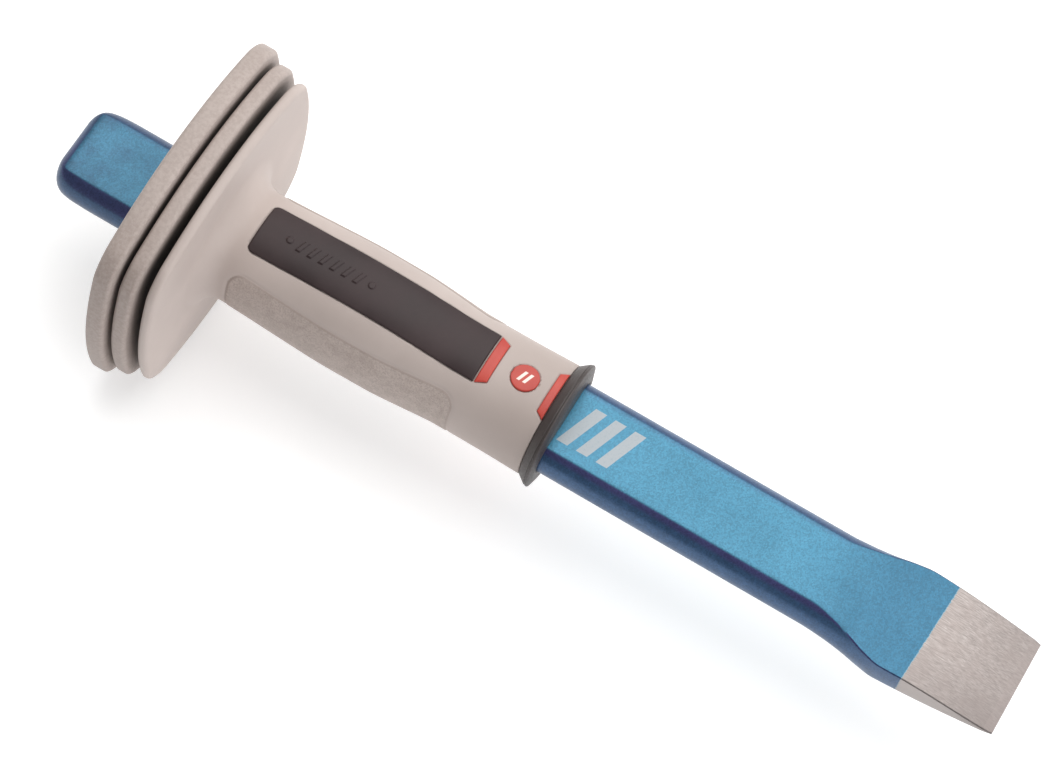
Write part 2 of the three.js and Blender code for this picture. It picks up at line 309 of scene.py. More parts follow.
def oval_ring(x, like, grow):
    """The bar's flat-oval outline, grown all round, with its points on the rays of another ring."""
    bulge = HALF_WIDTH - HALF_FACE
    radius = (bulge ** 2 + HALF_THICKNESS ** 2) / (2 * bulge)
    centre = HALF_WIDTH - radius
    angle = np.arctan2(like[:, 2], like[:, 1])
    c, s = np.abs(np.cos(angle)), np.abs(np.sin(angle))
    flat = (HALF_THICKNESS + grow) / np.maximum(s, 1e-6)
    side = centre * c + np.sqrt(np.maximum((radius + grow) ** 2 - (centre * s) ** 2, 0))
    reach = np.minimum(flat, side)
    return np.stack([np.full(len(angle), x), reach * np.cos(angle), reach * np.sin(angle)], -1)


# ---- Bar -----------------------------------------------------------------------------------------

def bar_section(x, thick, face, width, lean):
    """One ring round the bar. The corners between the broad faces and the sides are slightly eased."""
    bulge = max(width - face, 1e-5)
    radius = (bulge ** 2 + thick ** 2) / (2 * bulge)
    centre = width - radius
    reach = np.arcsin(min(thick / radius, 1))
    side_steps, face_steps = 26, 14
    arc_margin = CORNER_EASE / (2 * radius * reach)
    arc = np.linspace(arc_margin, 1 - arc_margin, side_steps)
    angles = reach * (2 * arc - 1)
    side_y = centre + radius * np.cos(angles)
    side_z = radius * np.sin(angles)
    face_y = np.linspace(face - CORNER_EASE, CORNER_EASE - face, face_steps)
    y = np.concatenate([side_y, face_y, -side_y, -face_y])
    z = np.concatenate([side_z, np.full(face_steps, thick), -side_z, np.full(face_steps, -thick)])
    return np.stack([x + lean * y, y, z], -1)


def bar_rings(start, end, places):
    inside = places[(places > start) & (places < end)]
    stations, *columns = BAR_STATIONS.T
    rings = []
    for x in np.concatenate([[start], inside, [end]]):
        sizes = [smooth_curve(stations, column, np.array([x]))[0] for column in columns]
        rings.append(bar_section(x, *sizes))
    return np.array(rings)


def end_rings(ring):
    """Ever smaller copies of an end's outline, flat across that end."""
    centre = ring.mean(0)
    return np.array([centre + (ring - centre) * share for share in (0.9, 0.75, 0.5, 0.25)])


def capped_piece(name, rings, material):
    """A lofted body with its ends closed by smaller rings and a fan."""
    rings = np.concatenate([end_rings(rings[0])[::-1], rings, end_rings(rings[-1])])
    count = rings.shape[1]
    points = rings.reshape(-1, 3)
    faces = ring_faces(rings.shape[0], count, closed=False).tolist()
    first, last = len(points), len(points) + 1
    points = np.concatenate([points, [rings[0].mean(0)], [rings[-1].mean(0)]])
    base = (rings.shape[0] - 1) * count
    for j in range(count):
        following = (j + 1) % count
        faces.append([first, following, j])
        faces.append([last, base + j, base + following])
    return add_mesh(name, points.tolist(), faces, material, sharp_angle=24)


def build_bar(lacquer, steel):
    """The bar in two pieces that meet where the grinding starts.

    Its rings lie closer together where the section changes fast.
    """
    head = np.array([0.12, 0.3, 0.5, 0.75, 1.05, 1.4, 1.8, 2.3, 2.9, 3.6, 4.5, 5.6, 7, 9, 12]) * MM
    shank = np.arange(16, 240, 8) * MM
    flare = np.arange(FLARE_START, BEVEL_START, 1.0 * MM)
    bevel = np.array([272.8, 273.5, 275, 279, 283, 287, 291, 295]) * MM
    edge = np.array([296.6, 297, 297.2, 297.5, 298.5, 299.6]) * MM
    places = np.concatenate([head, shank, flare, bevel, edge])
    shank_piece = capped_piece("bar_shank", bar_rings(0.0, BEVEL_START, places), lacquer)
    blade_piece = capped_piece("blade_tip", bar_rings(BEVEL_START, LENGTH, places), steel)
    finish_piece(shank_piece, "chisel", "bar_lacquer", "chisel_bar")
    finish_piece(blade_piece, "chisel", "ground_steel", "chisel_bar")


# ---- Inlay outlines: half width of each as a function of the place along the bar -----------------

def pad_half_width(x):
    corner = 2 * MM
    half = pad_high.y
    into_corner = np.clip(corner - (x - pad_low.x), 0, corner)
    return half - (corner - np.sqrt(corner ** 2 - into_corner ** 2))


def band_half_width(low, high, start_half, end_half):
    return lambda x: start_half + (end_half - start_half) * (x - low.x) / (high.x - low.x)


def marker_half_width(x):
    radius = (marker_high.x - marker_low.x) / 2
    centre = (marker_high.x + marker_low.x) / 2
    return np.sqrt(np.maximum(radius ** 2 - (x - centre) ** 2, (0.08 * radius) ** 2))


INLAYS = {
    "pad": (pad_low.x, pad_high.x, pad_half_width),
    "pad_band": (
        pad_band_low.x, pad_band_high.x,
        band_half_width(pad_band_low, pad_band_high, pad_high.y, BAND_NARROW_HALF),
    ),
    "marker": (marker_low.x, marker_high.x, marker_half_width),
    "collar_band": (
        collar_band_low.x, collar_band_high.x,
        band_half_width(collar_band_low, collar_band_high, BAND_NARROW_HALF, pad_high.y),
    ),
}


def inside_distance(x, y, start, end, half_width):
    """How far a point of the grip's skin is inside an inlay's outline, negative outside."""
    clipped = np.clip(x, start, end)
    return np.minimum(np.minimum(x - start, end - x), half_width(clipped) - np.abs(y))


# ---- Grip shell ----------------------------------------------------------------------------------

def panel_distance(x, z):
    """How far a point is inside the rounded outline of the textured side panel."""
    centre = (PANEL_START + PANEL_END) / 2
    half_length = (PANEL_END - PANEL_START) / 2
    dx = np.abs(x - centre) - (half_length - PANEL_CORNER)
    dz = np.abs(z) - (PANEL_HALF_HEIGHT - PANEL_CORNER)
    outside = np.hypot(np.maximum(dx, 0), np.maximum(dz, 0))
    return PANEL_CORNER - outside - np.minimum(np.maximum(dx, dz), 0)


def flange_profile(start, thickness, half_width, half_depth):
    end = start + thickness
    angles = np.radians([0, 18, 36, 54, 72, 90])
    rings = []
    for angle in angles:
        inset = RIM_ROUNDING * (1 - np.sin(angle))
        x = start + RIM_ROUNDING * (1 - np.cos(angle))
        rings.append(flange_ring(x, half_width - inset, half_depth - inset))
    for angle in angles[::-1]:
        inset = RIM_ROUNDING * (1 - np.sin(angle))
        x = end - RIM_ROUNDING * (1 - np.cos(angle))
        rings.append(flange_ring(x, half_width - inset, half_depth - inset))
    return rings


def face_rings(outer, inner, shares=(0.2, 0.4, 0.6, 0.8)):
    """Rings across a flat face, from one outline to another."""
    return [outer + (inner - outer) * share for share in shares]


def cleft_rings(rim, hub):
    """Rings from a rim in to the hub, closer together near the rim, each with how deep its points lie."""
    reach = np.linalg.norm(hub - rim, axis=1)
    shares = (0.01, 0.03, 0.06, 0.1, 0.16, 0.3, 0.5, 0.75)
    return [(rim + (hub - rim) * share, reach * share) for share in shares]


def hub_ring(x, offset):
    half_width, half_depth = HUB_HALF_SIZES
    return outline_ring(x, half_width + offset, half_depth + offset, GRIP_POWER)


def hub_profile(start, end):
    """The hub between two flanges, with a small fillet at each root."""
    angles = np.radians([0, 30, 60, 90])
    offsets = HUB_FILLET * (1 - np.sin(angles))
    inset = HUB_FILLET * (1 - np.cos(angles))
    leading = [hub_ring(x, offset) for x, offset in zip(start + inset, offsets)]
    trailing = [hub_ring(x, offset) for x, offset in zip(end - inset, offsets)]
    return leading + trailing[::-1]


def guard_rings():
    """The flanges and the hub between them, head side first. A ring comes with its depth in a cleft."""
    shallow, deep = np.zeros(RING_POINTS), np.full(RING_POINTS, 1.0)
    rings = []
    for index, flange in enumerate(FLANGES):
        profile = flange_profile(*flange)
        if index > 0:
            before = FLANGES[index - 1]
            hub = hub_profile(before[0] + before[1], flange[0])
            rings += cleft_rings(rings[-1][0], hub[0])
            rings += [(ring, deep) for ring in hub]
            rings += cleft_rings(profile[0], hub[-1])[::-1]
        rings += [(ring, shallow) for ring in profile]
    return rings


def grip_rings(last_flange):
    """The sweep from the last flange into the grip, the grip, and the eased edge at its blade end."""
    flange_end = FLANGES[-1][0] + FLANGES[-1][1]
    fillet = []
    for angle in np.radians(np.arange(0, 90, 7.5)):
        x = flange_end + ROOT_FILLET * (1 - np.cos(angle))
        fillet.append(grip_ring(x, ROOT_FILLET * (1 - np.sin(angle))))
    rings = face_rings(last_flange, fillet[0], np.linspace(0.1, 0.9, 9)) + fillet
    step, edge = 0.45 * MM, 0.25 * MM
    rings += [grip_ring(x) for x in np.arange(flange_end + ROOT_FILLET, SHELL_END - 0.3 * MM, step)]
    for share in (0.4, 0.8, 1.0):
        rings.append(grip_ring(SHELL_END - edge * (1 - share), -edge * (1 - np.sqrt(1 - share ** 2))))
    return rings


def shell_skin():
    """The rings of the shell's outside, head side first, and how far into a cleft's dark each point is."""
    rings = guard_rings()
    grip = grip_rings(rings[-1][0])
    depths = [depth for ring, depth in rings] + [np.zeros(RING_POINTS)] * len(grip)
    skin = np.array([ring for ring, depth in rings] + grip)
    return skin, smooth_step(np.array(depths), 0.8 * MM, 7 * MM)


def sculpt_skin(rings):
    """Sinks the inlay recesses and raises the textured side panels.

    The second result is 1 inside a panel and 0 outside, with a slope between.
    """
    x, y, z = rings[..., 0], rings[..., 1], rings[..., 2]
    on_grip = x > PANEL_START - 2 * MM
    lift = np.zeros_like(x)
    for start, end, half_width in INLAYS.values():
        grown = inside_distance(x, y, start, end, half_width) + INLAY_GAP
        sunk = smooth_step(grown, -0.15 * MM, 0.15 * MM)
        lift -= RECESS_DEPTH * sunk * (np.abs(z) > 8 * MM) * on_grip
    inside = panel_distance(x, z)
    groove = np.exp(-(inside / PANEL_GROOVE_WIDTH) ** 2)
    panel = smooth_step(inside, 0, 0.8 * MM)
    on_side = (np.abs(y) > 8 * MM) & (x > PANEL_START - 2 * MM) & (x < PANEL_END + 2 * MM)
    lift += np.where(on_side, PANEL_HEIGHT * panel - PANEL_GROOVE * groove, 0)
    direction = rings * np.array([0, 1, 1])
    direction /= np.maximum(np.linalg.norm(direction, axis=-1, keepdims=True), 1e-9)
    return rings + direction * lift[..., None], np.where(on_side, panel, 0)


def bore_rings(first_ring, last_ring):
    """The inside of the shell from its blade end back to the head side, with the cavity round the sleeve."""
    mouth_ease = 0.3 * MM
    rings = [oval_ring(x, last_ring, SLEEVE_OUTSIDE) for x in (SHELL_END, CAVITY_END)]
    for x in np.linspace(CAVITY_END, CAVITY_START, 5):
        rings.append(outline_ring(x, *CAVITY_HALF_SIZES, CAVITY_POWER))
    rings += [oval_ring(x, first_ring, SLEEVE_OUTSIDE) for x in (CAVITY_START, SHELL_START + mouth_ease)]
    rings.append(oval_ring(SHELL_START, first_ring, SLEEVE_OUTSIDE + mouth_ease))
    return rings


def build_shell(material):
    bare_skin, cleft = shell_skin()
    skin, panel = sculpt_skin(bare_skin)
    bore = bore_rings(skin[0], skin[-1])
    head_face = face_rings(bore[-1], skin[0])
    rings = np.concatenate([skin, np.array(bore + head_face)])
    obj = ring_piece("grip_and_guard", rings, material, sharp_angle=35)
    # The cleft weight marks where the elastomer gets painted shade between the flanges.
    for name, share in (("panel", panel), ("cleft", cleft)):
        weights = np.zeros(rings.shape[:2])
        weights[: len(skin)] = share
        attribute = obj.data.attributes.new(name, "FLOAT", "POINT")
        attribute.data.foreach_set("value", weights.reshape(-1).astype(np.float32))
    finish_piece(obj, "guard", "grey_elastomer", "grip_shell")


# ---- Inlays --------------------------------------------------------------------------------------

def emboss_height(x, y):
    """A plain raised pattern on the pad: a row of slanted bars between two dots."""
    half_thick, half_tall, slope = 0.75 * MM, 1.9 * MM, 0.2 * MM
    cell = (x - SLANT * y - EMBOSS_START) / EMBOSS_PITCH
    across = (cell - np.floor(cell) - 0.5) * EMBOSS_PITCH
    bar = np.minimum(half_thick - np.abs(across), half_tall - np.abs(y))
    raised = np.where((cell > 0) & (cell < EMBOSS_COUNT), bar, -1)
    row_end = EMBOSS_START + EMBOSS_PITCH * EMBOSS_COUNT
    for centre in (EMBOSS_START - DOT_SPACING, row_end + DOT_SPACING):
        raised = np.maximum(raised, DOT_RADIUS - np.hypot(x - centre, y))
    return EMBOSS_HEIGHT * smooth_step(raised, 0, slope)


def inlay_points(x, y, offset):
    """Points on the grip's surface above (x, y), moved out along its outline's normal."""
    half_width, half_depth = grip_half_sizes(x)
    share = np.clip(np.abs(y) / half_width, 0, 0.999)
    z = half_depth * (1 - share ** GRIP_POWER) ** (1 / GRIP_POWER)
    normal_y = np.sign(y) * share ** (GRIP_POWER - 1) / half_width
    normal_z = (z / half_depth) ** (GRIP_POWER - 1) / half_depth
    size = np.hypot(normal_y, normal_z)
    return np.stack([x, y + offset * normal_y / size, z + offset * normal_z / size], -1)


def merged(*lists, decimals):
    return np.unique(np.round(np.concatenate(lists), decimals))


def inlay_grid(kind):
    """One inlay's top and bottom as grids of points, which are finer under the pad's raised pattern."""
    start, end, half_width = INLAYS[kind]
    start, end = start + INLAY_GAP, end - INLAY_GAP
    if kind == "pad":
        pattern_x = np.arange(66.8, 96.8, 0.2) * MM
        pattern_share = np.arange(-0.27, 0.27, 0.022)
        x = merged(clustered(start, end, 90, 1.2 * MM), pattern_x, decimals=7)
        share = merged(clustered(-1, 1, 30, 0.08), pattern_share, decimals=5)
    else:
        x = clustered(start, end, 14, 0.6 * MM)
        share = clustered(-1, 1, 28, 0.1)
    grid_x, grid_share = np.meshgrid(x, share, indexing="ij")
    half = half_width(grid_x) - INLAY_GAP
    grid_y = half * grid_share
    edge = np.minimum(np.minimum(grid_x - start, end - grid_x), half - np.abs(grid_y))
    into = np.clip(INLAY_EDGE - edge, 0, INLAY_EDGE)
    rounding = INLAY_EDGE - np.sqrt(np.maximum(INLAY_EDGE ** 2 - into ** 2, 0))
    top_offset = INLAY_PROUD - rounding
    if kind == "pad":
        top_offset = top_offset + emboss_height(grid_x, grid_y)
    top = inlay_points(grid_x, grid_y, top_offset)
    floor_gap = 0.03 * MM
    bottom = inlay_points(grid_x, grid_y, np.full_like(grid_x, floor_gap - RECESS_DEPTH))
    return top, bottom


def build_inlay(side, kind, material, slot):
    """One inlay as a closed body: its top grid, its bottom grid and the wall round them."""
    top, bottom = inlay_grid(kind)
    rows, columns = top.shape[:2]
    size = rows * columns
    points = np.concatenate([top.reshape(-1, 3), bottom.reshape(-1, 3)])
    i, j = np.meshgrid(np.arange(rows - 1), np.arange(columns - 1), indexing="ij")
    a = (i * columns + j).reshape(-1)
    upper = np.stack([a, a + columns, a + columns + 1, a + 1], -1)
    lower = upper[:, ::-1] + size
    around = np.concatenate([
        np.arange(rows) * columns,
        (rows - 1) * columns + np.arange(1, columns),
        (np.arange(rows - 1)[::-1]) * columns + columns - 1,
        np.arange(1, columns - 1)[::-1],
    ])
    following = np.roll(around, -1)
    walls = np.stack([around, around + size, following + size, following], -1)
    if side == "back":
        points = points * np.array([1, -1, -1])
    faces = np.concatenate([upper, lower, walls])
    obj = add_mesh(f"{side}_{kind}_inlay", points.tolist(), faces.tolist(), material, sharp_angle=45)
    finish_piece(obj, "guard", slot, f"{side}_{kind}")


# ---- Collar --------------------------------------------------------------------------------------

def collar_skin(start, end):
    """The collar's outside: a cone out to the beaded rim, then a face that slopes back in to the bar."""
    rings = [grip_ring(start, -0.15 * MM), grip_ring(start + 0.12 * MM, 0.0)]
    cone = COLLAR_RIM - COLLAR_BEAD - start
    rings += [grip_ring(start + cone * share, COLLAR_FLARE * share) for share in np.linspace(0.1, 0.9, 8)]
    for angle in np.radians(np.arange(70, -51, -15)):
        x = COLLAR_RIM - COLLAR_BEAD * np.sin(angle)
        rings.append(grip_ring(x, COLLAR_FLARE - COLLAR_BEAD * (1 - np.cos(angle))))
    inner = grip_ring(end, -0.4 * MM)
    return rings + face_rings(rings[-1], inner) + [inner]


def build_collar(material):
    start = SHELL_END + 0.12 * MM
    end = COLLAR_END - 0.05 * MM
    mouth_ease = 0.35 * MM
    rings = collar_skin(start, end)
    mouth = oval_ring(end, rings[-1], BAR_CLEARANCE + mouth_ease)
    rings += face_rings(rings[-1], mouth) + [mouth]
    rings.append(oval_ring(end - mouth_ease, rings[-1], BAR_CLEARANCE))
    rings.append(oval_ring(start, rings[0], BAR_CLEARANCE))
    obj = ring_piece("grip_end_collar", rings, material, sharp_angle=40)
    finish_piece(obj, "guard", "dark_polymer", "end_collar")


# ---- Material helpers ----------------------------------------------------------------------------

class Shader:
    """A material's node tree, with short calls for the nodes used here."""

    def __init__(self, name):
        self.material = bpy.data.materials.new(name)
        self.material.use_nodes = True
        self.tree = self.material.node_tree
        self.principled = self.tree.nodes["Principled BSDF"]
        self.place = self.tree.nodes.new("ShaderNodeTexCoord").outputs["Object"]

    def link(self, source, socket):
        if isinstance(source, bpy.types.NodeSocket):
            self.tree.links.new(source, socket)
        else:
            socket.default_value = source

    def put(self, **values):
        for name, value in values.items():
            self.link(value, self.principled.inputs[name.replace("_", " ")])

    def math(self, operation, a, b=0.0):
        node = self.tree.nodes.new("ShaderNodeMath")
        node.operation = operation
        self.link(a, node.inputs[0])
        self.link(b, node.inputs[1])
        return node.outputs[0]

    def times(self, a, b):
        return self.math("MULTIPLY", a, b)

    def minus(self, a, b):
        return self.math("SUBTRACT", a, b)

    def absolute(self, a):
        return self.math("ABSOLUTE", a)

    def inside(self, distance, edge, softness):
        """1 where a distance is under an edge, fading to 0 over the softness just inside it."""
        return self.remap(distance, edge - softness, edge, 1.0, 0.0)

    def scaled(self, factors):
        node = self.tree.nodes.new("ShaderNodeVectorMath")
        node.operation = "MULTIPLY"
        self.link(self.place, node.inputs[0])
        node.inputs[1].default_value = factors
        return node.outputs[0]

    def noise(self, scale, detail=3.0, roughness=0.5, vector=None):
        node = self.tree.nodes.new("ShaderNodeTexNoise")
        self.link(vector or self.place, node.inputs["Vector"])
        node.inputs["Scale"].default_value = scale
        node.inputs["Detail"].default_value = detail
        node.inputs["Roughness"].default_value = roughness
        return node.outputs["Fac"]

    def cells(self, scale, output="Color"):
        node = self.tree.nodes.new("ShaderNodeTexVoronoi")
        self.link(self.place, node.inputs["Vector"])
        node.inputs["Scale"].default_value = scale
        return node.outputs[output]

    def remap(self, value, low, high, to_low=0.0, to_high=1.0):
        node = self.tree.nodes.new("ShaderNodeMapRange")
        node.interpolation_type = "SMOOTHSTEP"
        self.link(value, node.inputs["Value"])
        node.inputs["From Min"].default_value = low
        node.inputs["From Max"].default_value = high
        node.inputs["To Min"].default_value = to_low
        node.inputs["To Max"].default_value = to_high
        return node.outputs["Result"]

    def mix(self, share, a, b):
        node = self.tree.nodes.new("ShaderNodeMix")
        node.data_type = "RGBA"
        self.link(share, node.inputs["Factor"])
        self.link(a, node.inputs[6])
        self.link(b, node.inputs[7])
        return node.outputs[2]

    def mix_value(self, share, a, b):
        node = self.tree.nodes.new("ShaderNodeMix")
        self.link(share, node.inputs[0])
        self.link(a, node.inputs[2])
        self.link(b, node.inputs[3])
        return node.outputs[0]

    def mix_normal(self, share, a, b):
        node = self.tree.nodes.new("ShaderNodeMix")
        node.data_type = "VECTOR"
        self.link(share, node.inputs[0])
        self.link(a, node.inputs[4])
        self.link(b, node.inputs[5])
        return node.outputs[1]

    def ramp(self, value, stops):
        node = self.tree.nodes.new("ShaderNodeValToRGB")
        self.link(value, node.inputs["Fac"])
        elements = node.color_ramp.elements
        while len(elements) < len(stops):
            elements.new(0.5)
        for element, (position, colour) in zip(elements, stops):
            element.position = position
            element.color = colour
        return node.outputs["Color"]

    def axes(self):
        node = self.tree.nodes.new("ShaderNodeSeparateXYZ")
        self.link(self.place, node.inputs[0])
        return node.outputs[0], node.outputs[1], node.outputs[2]

    def facing_up(self):
        """How squarely the surface faces along Z, from 0 to 1, the same on front and back."""
        normal = self.tree.nodes.new("ShaderNodeTexCoord").outputs["Normal"]
        node = self.tree.nodes.new("ShaderNodeSeparateXYZ")
        self.link(normal, node.inputs[0])
        return self.absolute(node.outputs[2])

    def brightened(self, colour, factor):
        node = self.tree.nodes.new("ShaderNodeVectorMath")
        node.operation = "SCALE"
        self.link(colour, node.inputs[0])
        self.link(factor, node.inputs["Scale"])
        return node.outputs[0]

    def attribute(self, name):
        node = self.tree.nodes.new("ShaderNodeAttribute")
        node.attribute_name = name
        return node.outputs["Fac"]

    def bump(self, height, strength, distance, normal=None):
        node = self.tree.nodes.new("ShaderNodeBump")
        self.link(height, node.inputs["Height"])
        self.link(strength, node.inputs["Strength"])
        node.inputs["Distance"].default_value = distance
        if normal is not None:
            self.link(normal, node.inputs["Normal"])
        return node.outputs["Normal"]


def srgb(red, green, blue):
    """A display colour, 0 to 255, as the linear colour that a shader takes."""
    c = np.array([red, green, blue]) / 255
    linear = np.where(c <= 0.04045, c / 12.92, ((c + 0.055) / 1.055) ** 2.4)
    return (*linear.tolist(), 1.0)


# ---- Materials -----------------------------------------------------------------------------------

def between(shader, value, first, second):
    """A colour that wanders between two others with a noise value."""
    return shader.ramp(value, [(0.3, first), (0.7, second)])


def lacquer_colour(shader):
    """Metallic blue with fine flakes. Painted shade makes the rounded sides a deeper blue, paints a dark
    violet reflection on the lower rounded side and darkens the face's +Y edge; patchy at the head."""
    x, y, _ = shader.axes()
    facing = shader.facing_up()
    clouds = shader.noise(420, 3, 0.6)
    # Painted shade: a deeper blue for the rounded sides, picked below by how far the surface turns from Z.
    side = between(shader, clouds, (0.032, 0.078, 0.165, 1), (0.040, 0.094, 0.195, 1))
    # Colour of the painted dark reflection on the lower rounded side.
    violet = (0.050, 0.054, 0.160, 1)
    near_face = between(shader, clouds, (0.036, 0.167, 0.262, 1), (0.042, 0.180, 0.280, 1))
    flare_face = between(shader, clouds, (0.019, 0.115, 0.200, 1), (0.024, 0.126, 0.215, 1))
    face = shader.mix(shader.remap(x, 0.225, 0.262), near_face, flare_face)
    # Painted shade: the face darkens towards the side colour along its +Y edge on the shank.
    along_shank = shader.remap(x, 0.235, 0.25, 1.0, 0.0)
    upper_edge_shade = shader.times(shader.remap(y, 0.0086, 0.0104, 0.0, 0.45), along_shank)
    face = shader.mix(upper_edge_shade, face, side)
    # Painted dark reflection on the rounded sides, strongest towards -Y and wider near the head.
    reach = shader.math("ADD", facing, shader.remap(x, 0.02, 0.1, 0.22, 0.0))
    lower_side_shade = shader.remap(y, -0.008, 0.006, 1.0, 0.1)
    dark_reflection_share = shader.times(shader.remap(reach, 0.70, 0.84), lower_side_shade)
    rounded = shader.mix(dark_reflection_share, side, violet)
    # Only surfaces that face Z squarely keep the face colour; the rest take the painted side shade.
    colour = shader.mix(shader.remap(facing, 0.90, 0.975), rounded, face)
    at_head = shader.remap(x, 0.006, 0.05, 1.0, 0.0)
    patches = shader.remap(shader.noise(150, 4, 0.6), 0.38, 0.68, 0.3, 0.55)
    colour = shader.mix(shader.times(at_head, patches), colour, (0.018, 0.045, 0.102, 1))
    uneven = shader.remap(shader.noise(1700, 2, 0.6), 0.3, 0.7, 0.86, 1.14)
    flake = shader.remap(shader.times(shader.cells(2500), uneven), 0.0, 1.0, 0.83, 1.20)
    return shader.brightened(colour, flake)


def lacquer_surface(shader):
    """Fine flakes under a slight orange peel."""
    peel = shader.noise(900, 2, 0.5)
    flakes = shader.cells(2600, "Distance")
    return shader.bump(peel, 0.25, 0.06 * MM, shader.bump(flakes, 0.12, 0.06 * MM))


def stripe_mask(shader):
    """Plain slanted bars printed on the front face, next to the collar."""
    x, y, z = shader.axes()
    slanted = shader.minus(x, shader.times(y, SLANT))
    cell = shader.math("DIVIDE", shader.minus(slanted, STRIPE_START), STRIPE_PITCH)
    across = shader.absolute(shader.minus(shader.math("FRACT", cell), 0.5))
    bar = shader.inside(across, 0.30, 0.04)
    after_start = shader.math("GREATER_THAN", cell, 0.0)
    before_end = shader.math("LESS_THAN", cell, float(STRIPE_COUNT))
    in_row = shader.times(after_start, before_end)
    in_width = shader.inside(shader.absolute(y), STRIPE_HALF_HEIGHT, 0.2 * MM)
    on_front = shader.math("GREATER_THAN", z, 6 * MM)
    return shader.times(shader.times(bar, in_row), shader.times(in_width, on_front))


LACQUER_METALLIC = 0.55


def lacquer_material():
    """The bar's lacquer with its printed stripes, which are slightly rubbed."""
    shader = Shader("metallic_blue_lacquer")
    rubbed = shader.remap(shader.noise(1400, 3, 0.7), 0.25, 0.5, 0.75, 1.0)
    print_cover = shader.times(stripe_mask(shader), rubbed)
    colour = shader.mix(print_cover, lacquer_colour(shader), srgb(160, 168, 174))
    roughness = shader.remap(shader.noise(60, 5, 0.6), 0.3, 0.7, 0.34, 0.46)
    metallic = shader.remap(print_cover, 0.0, 1.0, LACQUER_METALLIC, 0.0)
    shader.put(Base_Color=colour, Metallic=metallic, Roughness=roughness, Normal=lacquer_surface(shader))
    shader.put(Coat_Weight=0.2, Coat_Roughness=0.2)
    return shader.material


def ground_steel_colour(shader, grind):
    """Streaky bare steel, duller in patches and darker towards the edge, with a painted highlight that pales
    the narrow sides and painted shade towards -Y.
    """
    x, y, _ = shader.axes()
    streaks = [
        (0.3, (0.17, 0.150, 0.144, 1)),
        (0.5, (0.30, 0.268, 0.256, 1)),
        (0.7, (0.46, 0.42, 0.405, 1)),
    ]
    patches = shader.remap(shader.noise(220, 3, 0.5), 0.35, 0.7, 0.0, 0.35)
    steel = shader.mix(patches, shader.ramp(grind, streaks), (0.28, 0.24, 0.226, 1))
    # Painted highlight: surfaces that turn away from Z, the narrow sides, are made paler.
    on_side = shader.remap(shader.facing_up(), 0.3, 0.8, 0.7, 0.0)
    steel = shader.mix(on_side, steel, (0.60, 0.55, 0.53, 1))
    # Painted shade towards -Y, added to a darkening towards the cutting edge.
    lower = shader.remap(y, -0.016, 0.0, 0.35, 0.0)
    towards_edge = shader.remap(x, 0.28, 0.3, 0.0, 0.3)
    steel = shader.mix(shader.math("ADD", lower, towards_edge), steel, (0.19, 0.166, 0.160, 1))
    edge_bevel = shader.remap(x, EDGE_BEVEL_START - 0.1 * MM, EDGE_BEVEL_START + 0.2 * MM, 0.0, 0.3)
    return shader.mix(edge_bevel, steel, (0.30, 0.26, 0.25, 1))


def steel_material():
    """Bare steel ground along the bar, with the lacquer's ragged edge where the grinding starts."""
    shader = Shader("ground_steel_blade")
    x, y, _ = shader.axes()
    streaks = shader.noise(1, 4, 0.65, shader.scaled((150, 3400, 3400)))
    fine = shader.noise(1, 3, 0.7, shader.scaled((400, 8000, 8000)))
    grind = shader.math("ADD", shader.times(streaks, 0.65), shader.times(fine, 0.35))
    ragged = shader.times(shader.noise(1, 3, 0.7, shader.scaled((300, 2200, 2200))), 1.2 * MM)
    past_line = shader.minus(shader.minus(x, shader.times(y, BEVEL_LEAN)), BEVEL_START)
    past_line = shader.math("ADD", past_line, ragged)
    painted = shader.inside(past_line, 0.9 * MM, 0.2 * MM)
    worn = shader.remap(past_line, 0.4 * MM, 0.8 * MM, 0.0, 0.45)
    lacquer = shader.mix(worn, lacquer_colour(shader), srgb(150, 185, 195))
    colour = shader.mix(painted, ground_steel_colour(shader, grind), lacquer)
    roughness = shader.mix_value(painted, shader.remap(fine, 0.3, 0.7, 0.42, 0.56), 0.40)
    metallic = shader.remap(painted, 0.0, 1.0, 1.0, LACQUER_METALLIC)
    normal = shader.mix_normal(painted, shader.bump(grind, 0.35, 0.08 * MM), lacquer_surface(shader))
    shader.put(Base_Color=colour, Metallic=metallic, Roughness=roughness, Normal=normal)
    return shader.material


